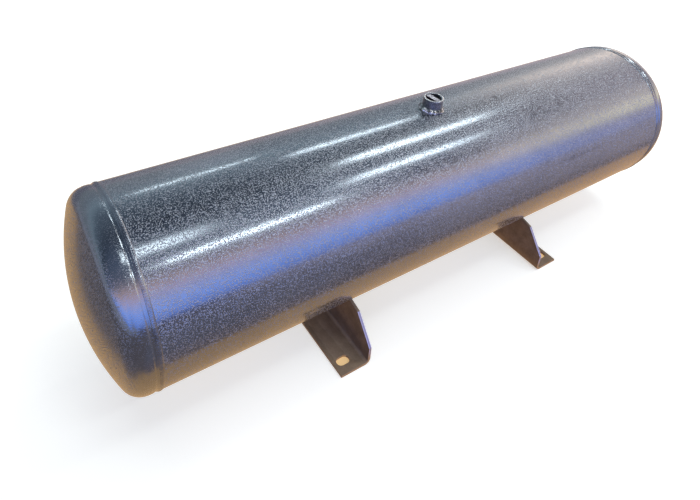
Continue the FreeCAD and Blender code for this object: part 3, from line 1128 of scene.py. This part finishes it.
def boss_profile():
    """Down the outside and up the bore, as (height, radius) pairs."""
    low = node_span("port_boss", 2)[0]
    outside = [(low, PORT_R), (low + 4 * MM, PORT_R), (PORT_TOP - 6 * MM, PORT_R)]
    outside += [(PORT_TOP - RIM_ROUND, PORT_R), (PORT_TOP - 0.45 * RIM_ROUND, PORT_R - 0.12 * RIM_ROUND)]
    outside += [(PORT_TOP - 0.12 * RIM_ROUND, PORT_R - 0.45 * RIM_ROUND), (PORT_TOP, PORT_R - RIM_ROUND)]
    inside = [(PORT_TOP, PORT_BORE_R + 0.9 * MM), (PORT_TOP - 0.9 * MM, PORT_BORE_R)]
    height = PORT_TOP - 1.6 * MM
    while height > node_span("port_plug", 2)[0]:
        inside.append((height, PORT_BORE_R + THREAD_DEPTH))
        inside.append((height - THREAD_PITCH * 0.5, PORT_BORE_R + 0.05 * MM))
        height -= THREAD_PITCH
    inside.append((low, PORT_BORE_R))
    return outside + inside


def make_boss():
    profile = boss_profile()
    grid = turned_grid(profile, PORT_TURNS)
    faces = ring_faces(len(profile), PORT_TURNS, closed=True)
    return add_object("port_barrel", finished_mesh("port_barrel", port_points(*grid), faces, 50))


port_barrel = make_boss()
print("port barrel:", len(port_barrel.data.polygons), "faces")

# %% [markdown]
# ## Plug and feet
#
# The plug and the feet already have their final shape, but every edge is as sharp as a
# knife, and no real edge is. A copy of each gets a small Bevel, which is quicker and safer
# than modelling them again. The copy's doubles are merged and its flat faces joined first,
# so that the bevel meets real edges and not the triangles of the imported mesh. The foot's
# finish also has to know a sheared edge from a rolled face. The shears worked along the
# tank, so the cut faces are the ones that look forwards or backwards, and each gets a value
# under the name "cut", which the material reads.

# %% Soften the plug and the feet
FLAT, CORNER, CREASE = (math.radians(degrees) for degrees in (1, 35, 25))


def softened_copy(node, name, edge):
    """A copy of a node with its doubles merged and its sharp edges rounded off."""
    work = bmesh.new()
    work.from_mesh(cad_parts[node].data)
    bmesh.ops.remove_doubles(work, verts=work.verts, dist=1e-6)
    bmesh.ops.dissolve_limit(work, angle_limit=FLAT, verts=work.verts, edges=work.edges)
    mesh = bpy.data.meshes.new(name)
    work.to_mesh(mesh)
    work.free()
    piece = add_object(name, mesh)
    rounding = piece.modifiers.new("rounding", "BEVEL")
    rounding.width = edge
    rounding.segments = 2
    rounding.limit_method = "ANGLE"
    rounding.angle_limit = CORNER
    ready = piece.evaluated_get(bpy.context.evaluated_depsgraph_get())
    rounded = bpy.data.meshes.new_from_object(ready)
    piece.modifiers.clear()
    piece.data = rounded
    rounded.name = name
    rounded.shade_smooth()
    rounded.set_sharp_from_angle(angle=CREASE)
    return piece


port_plug = softened_copy("port_plug", "plug_disc", 0.35 * MM)
left_foot = softened_copy("left_foot", "left_foot_plate", 0.5 * MM)
right_foot = softened_copy("right_foot", "right_foot_plate", 0.5 * MM)
print("feet:", len(left_foot.data.polygons), "faces each")

# %% Mark the sheared edges
CUT_FACING = 0.6


def mark_cut_edges(piece):
    """Gives every face that looks out of the plate's cut ends the value 1."""
    mesh = piece.data
    attribute = mesh.attributes.new("cut", "FLOAT", "FACE")
    values = [1.0 if abs(face.normal.y) > CUT_FACING else 0.0 for face in mesh.polygons]
    attribute.data.foreach_set("value", values)
    print(piece.name, "cut faces:", int(sum(values)))


mark_cut_edges(left_foot)
mark_cut_edges(right_foot)

# %% [markdown]
# ## Laying the beads
#
# `grown` runs a tree on a path and turns the result into a plain mesh, because a finished
# piece has no modifier left on it. The girth bead is centred a little outside the seam, on
# the head's side. Seven welds come from the one tree.

# %% Lay the beads
ONLY_FOR_TREES = ("out", "side", "full", "centre", "run", "across", "rise")
GIRTH_SHIFT = 2.6 * MM


def grown(name, source, tree, inputs):
    """Runs a tree on an object, which it uses up, and returns what it makes as a plain piece."""
    modifier = source.modifiers.new(tree.name, "NODES")
    modifier.node_group = tree
    for item in tree.interface.items_tree:
        if item.in_out == "INPUT" and item.name in inputs:
            modifier[item.identifier] = inputs[item.name]
    ready = source.evaluated_get(bpy.context.evaluated_depsgraph_get())
    mesh = bpy.data.meshes.new_from_object(ready)
    source.modifiers.remove(modifier)
    bpy.data.objects.remove(source)
    for label in ONLY_FOR_TREES:
        if label in mesh.attributes:
            mesh.attributes.remove(mesh.attributes[label])
    work = bmesh.new()
    work.from_mesh(mesh)
    bmesh.ops.recalc_face_normals(work, faces=work.faces)
    work.to_mesh(mesh)
    work.free()
    mesh.name = name
    return add_object(name, mesh)


def lay_bead(node, path, kind, finish, seed):
    """Lays a bead along a path in place of the plain weld of the construction, which it hides."""
    inputs = {label: sizes[kind] for label, sizes in BEAD_SIZES.items()}
    inputs.update({"Seed": seed, "Finish": finish})
    settle(grown(f"{node}_bead", path, bead_tree, inputs), "weld_bead", None, node)


for number, (side, sign) in enumerate((("left", -1), ("right", 1))):
    seam = girth_path(f"{side}_seam", sign * (SEAM_X + GIRTH_SHIFT))
    lay_bead(f"{side}_girth_weld", seam, GIRTH, girth_finish, 2.0 + number)
    faces = (("inner", WEB_FACES[1], -1), ("outer", WEB_FACES[2], 1))
    for place, (label, face_x, facing) in enumerate(faces):
        corner = foot_path(f"{side}_{label}_corner", sign * face_x, sign * facing)
        lay_bead(f"{side}_foot_{label}_weld", corner, FOOT, foot_weld_finish, 5.0 + 2 * number + place)
lay_bead("port_weld", port_path("port_corner"), PORT, port_weld_finish, 9.0)

# %% [markdown]
# ## Spatter
#
# Welding by hand throws small drops of steel that freeze where they land. Points are
# scattered over a patch of the shell beside each hand weld, and a small drop goes on each,
# half sunk, with its own size.

# %% Build the spatter tree
DROP_SIZES = {"Per square metre": 3000.0, "Smallest": 0.3 * MM, "Largest": 0.9 * MM, "Seed": 1}


def build_spatter_tree():
    tree, bench, given = start_tree("spatter", DROP_SIZES)
    values = {"Mesh": given["Geometry"], "Density": given["Per square metre"], "Seed": given["Seed"]}
    points = bench.node("GeometryNodeDistributePointsOnFaces", None, values)
    drop = bench.node("GeometryNodeMeshIcoSphere", None, {"Radius": 1.0, "Subdivisions": 2})
    values = {2: given["Smallest"], 3: given["Largest"], 8: given["Seed"]}
    size = bench.node("FunctionNodeRandomValue", {"data_type": "FLOAT"}, values, output=1)
    values = {"Points": points, "Instance": drop, "Scale": size}
    drops = bench.node("GeometryNodeInstanceOnPoints", None, values)
    smooth = bench.node("GeometryNodeSetShadeSmooth", None, {"Geometry": drops})
    finish_tree(bench, smooth, given["Finish"])
    return tree


spatter_tree = build_spatter_tree()


def shell_patch(name, x_span, degree_span, steps=12):
    """A piece of the shell's surface to scatter over."""
    points = [on_tank(x, degrees) for x in np.linspace(*x_span, steps)
              for degrees in np.linspace(*degree_span, steps)]
    faces = [(row * steps + i, row * steps + i + 1, (row + 1) * steps + i + 1, (row + 1) * steps + i)
             for row in range(steps - 1) for i in range(steps - 1)]
    mesh = bpy.data.meshes.new(name)
    mesh.from_pydata(points, [], faces)
    return add_object(name, mesh)


# Each patch: its name, its spans in metres and degrees, the finish, drops a square metre, seed.
PATCHES = [
    ("port_spatter", (-0.050, -0.024), (80, 100), port_weld_finish, 6000.0, 4),
    ("left_foot_spatter", (-0.245, -0.224), (-82, -44), foot_weld_finish, 9000.0, 6),
    ("right_foot_spatter", (0.190, 0.207), (-82, -44), foot_weld_finish, 9000.0, 8),
]
for name, x_span, degree_span, finish, density, seed in PATCHES:
    inputs = {"Per square metre": density, "Seed": seed, "Finish": finish}
    drops = grown(name, shell_patch(f"{name}_patch", x_span, degree_span), spatter_tree, inputs)
    settle(drops, "weld_bead", None)

# %% [markdown]
# ## Putting the pieces in their places
#
# Every new piece now gets its finish, hides the nodes of the construction that it replaces
# and moves with the tank's body. A tank has only one body.

# %% Settle the skins, the port and the feet
for piece, slot, finish, node in (
    (shell_skin, "tank_skin", tank_skin, "shell"),
    (left_head_skin, "tank_skin", tank_skin, "left_head"),
    (right_head_skin, "tank_skin", tank_skin, "right_head"),
    (port_barrel, "port_steel", port_steel, "port_boss"),
    (port_plug, "plug", plug_finish, "port_plug"),
    (left_foot, "foot_plate", left_plate_finish, "left_foot"),
    (right_foot, "foot_plate", right_plate_finish, "right_foot"),
):
    settle(piece, slot, finish, node)
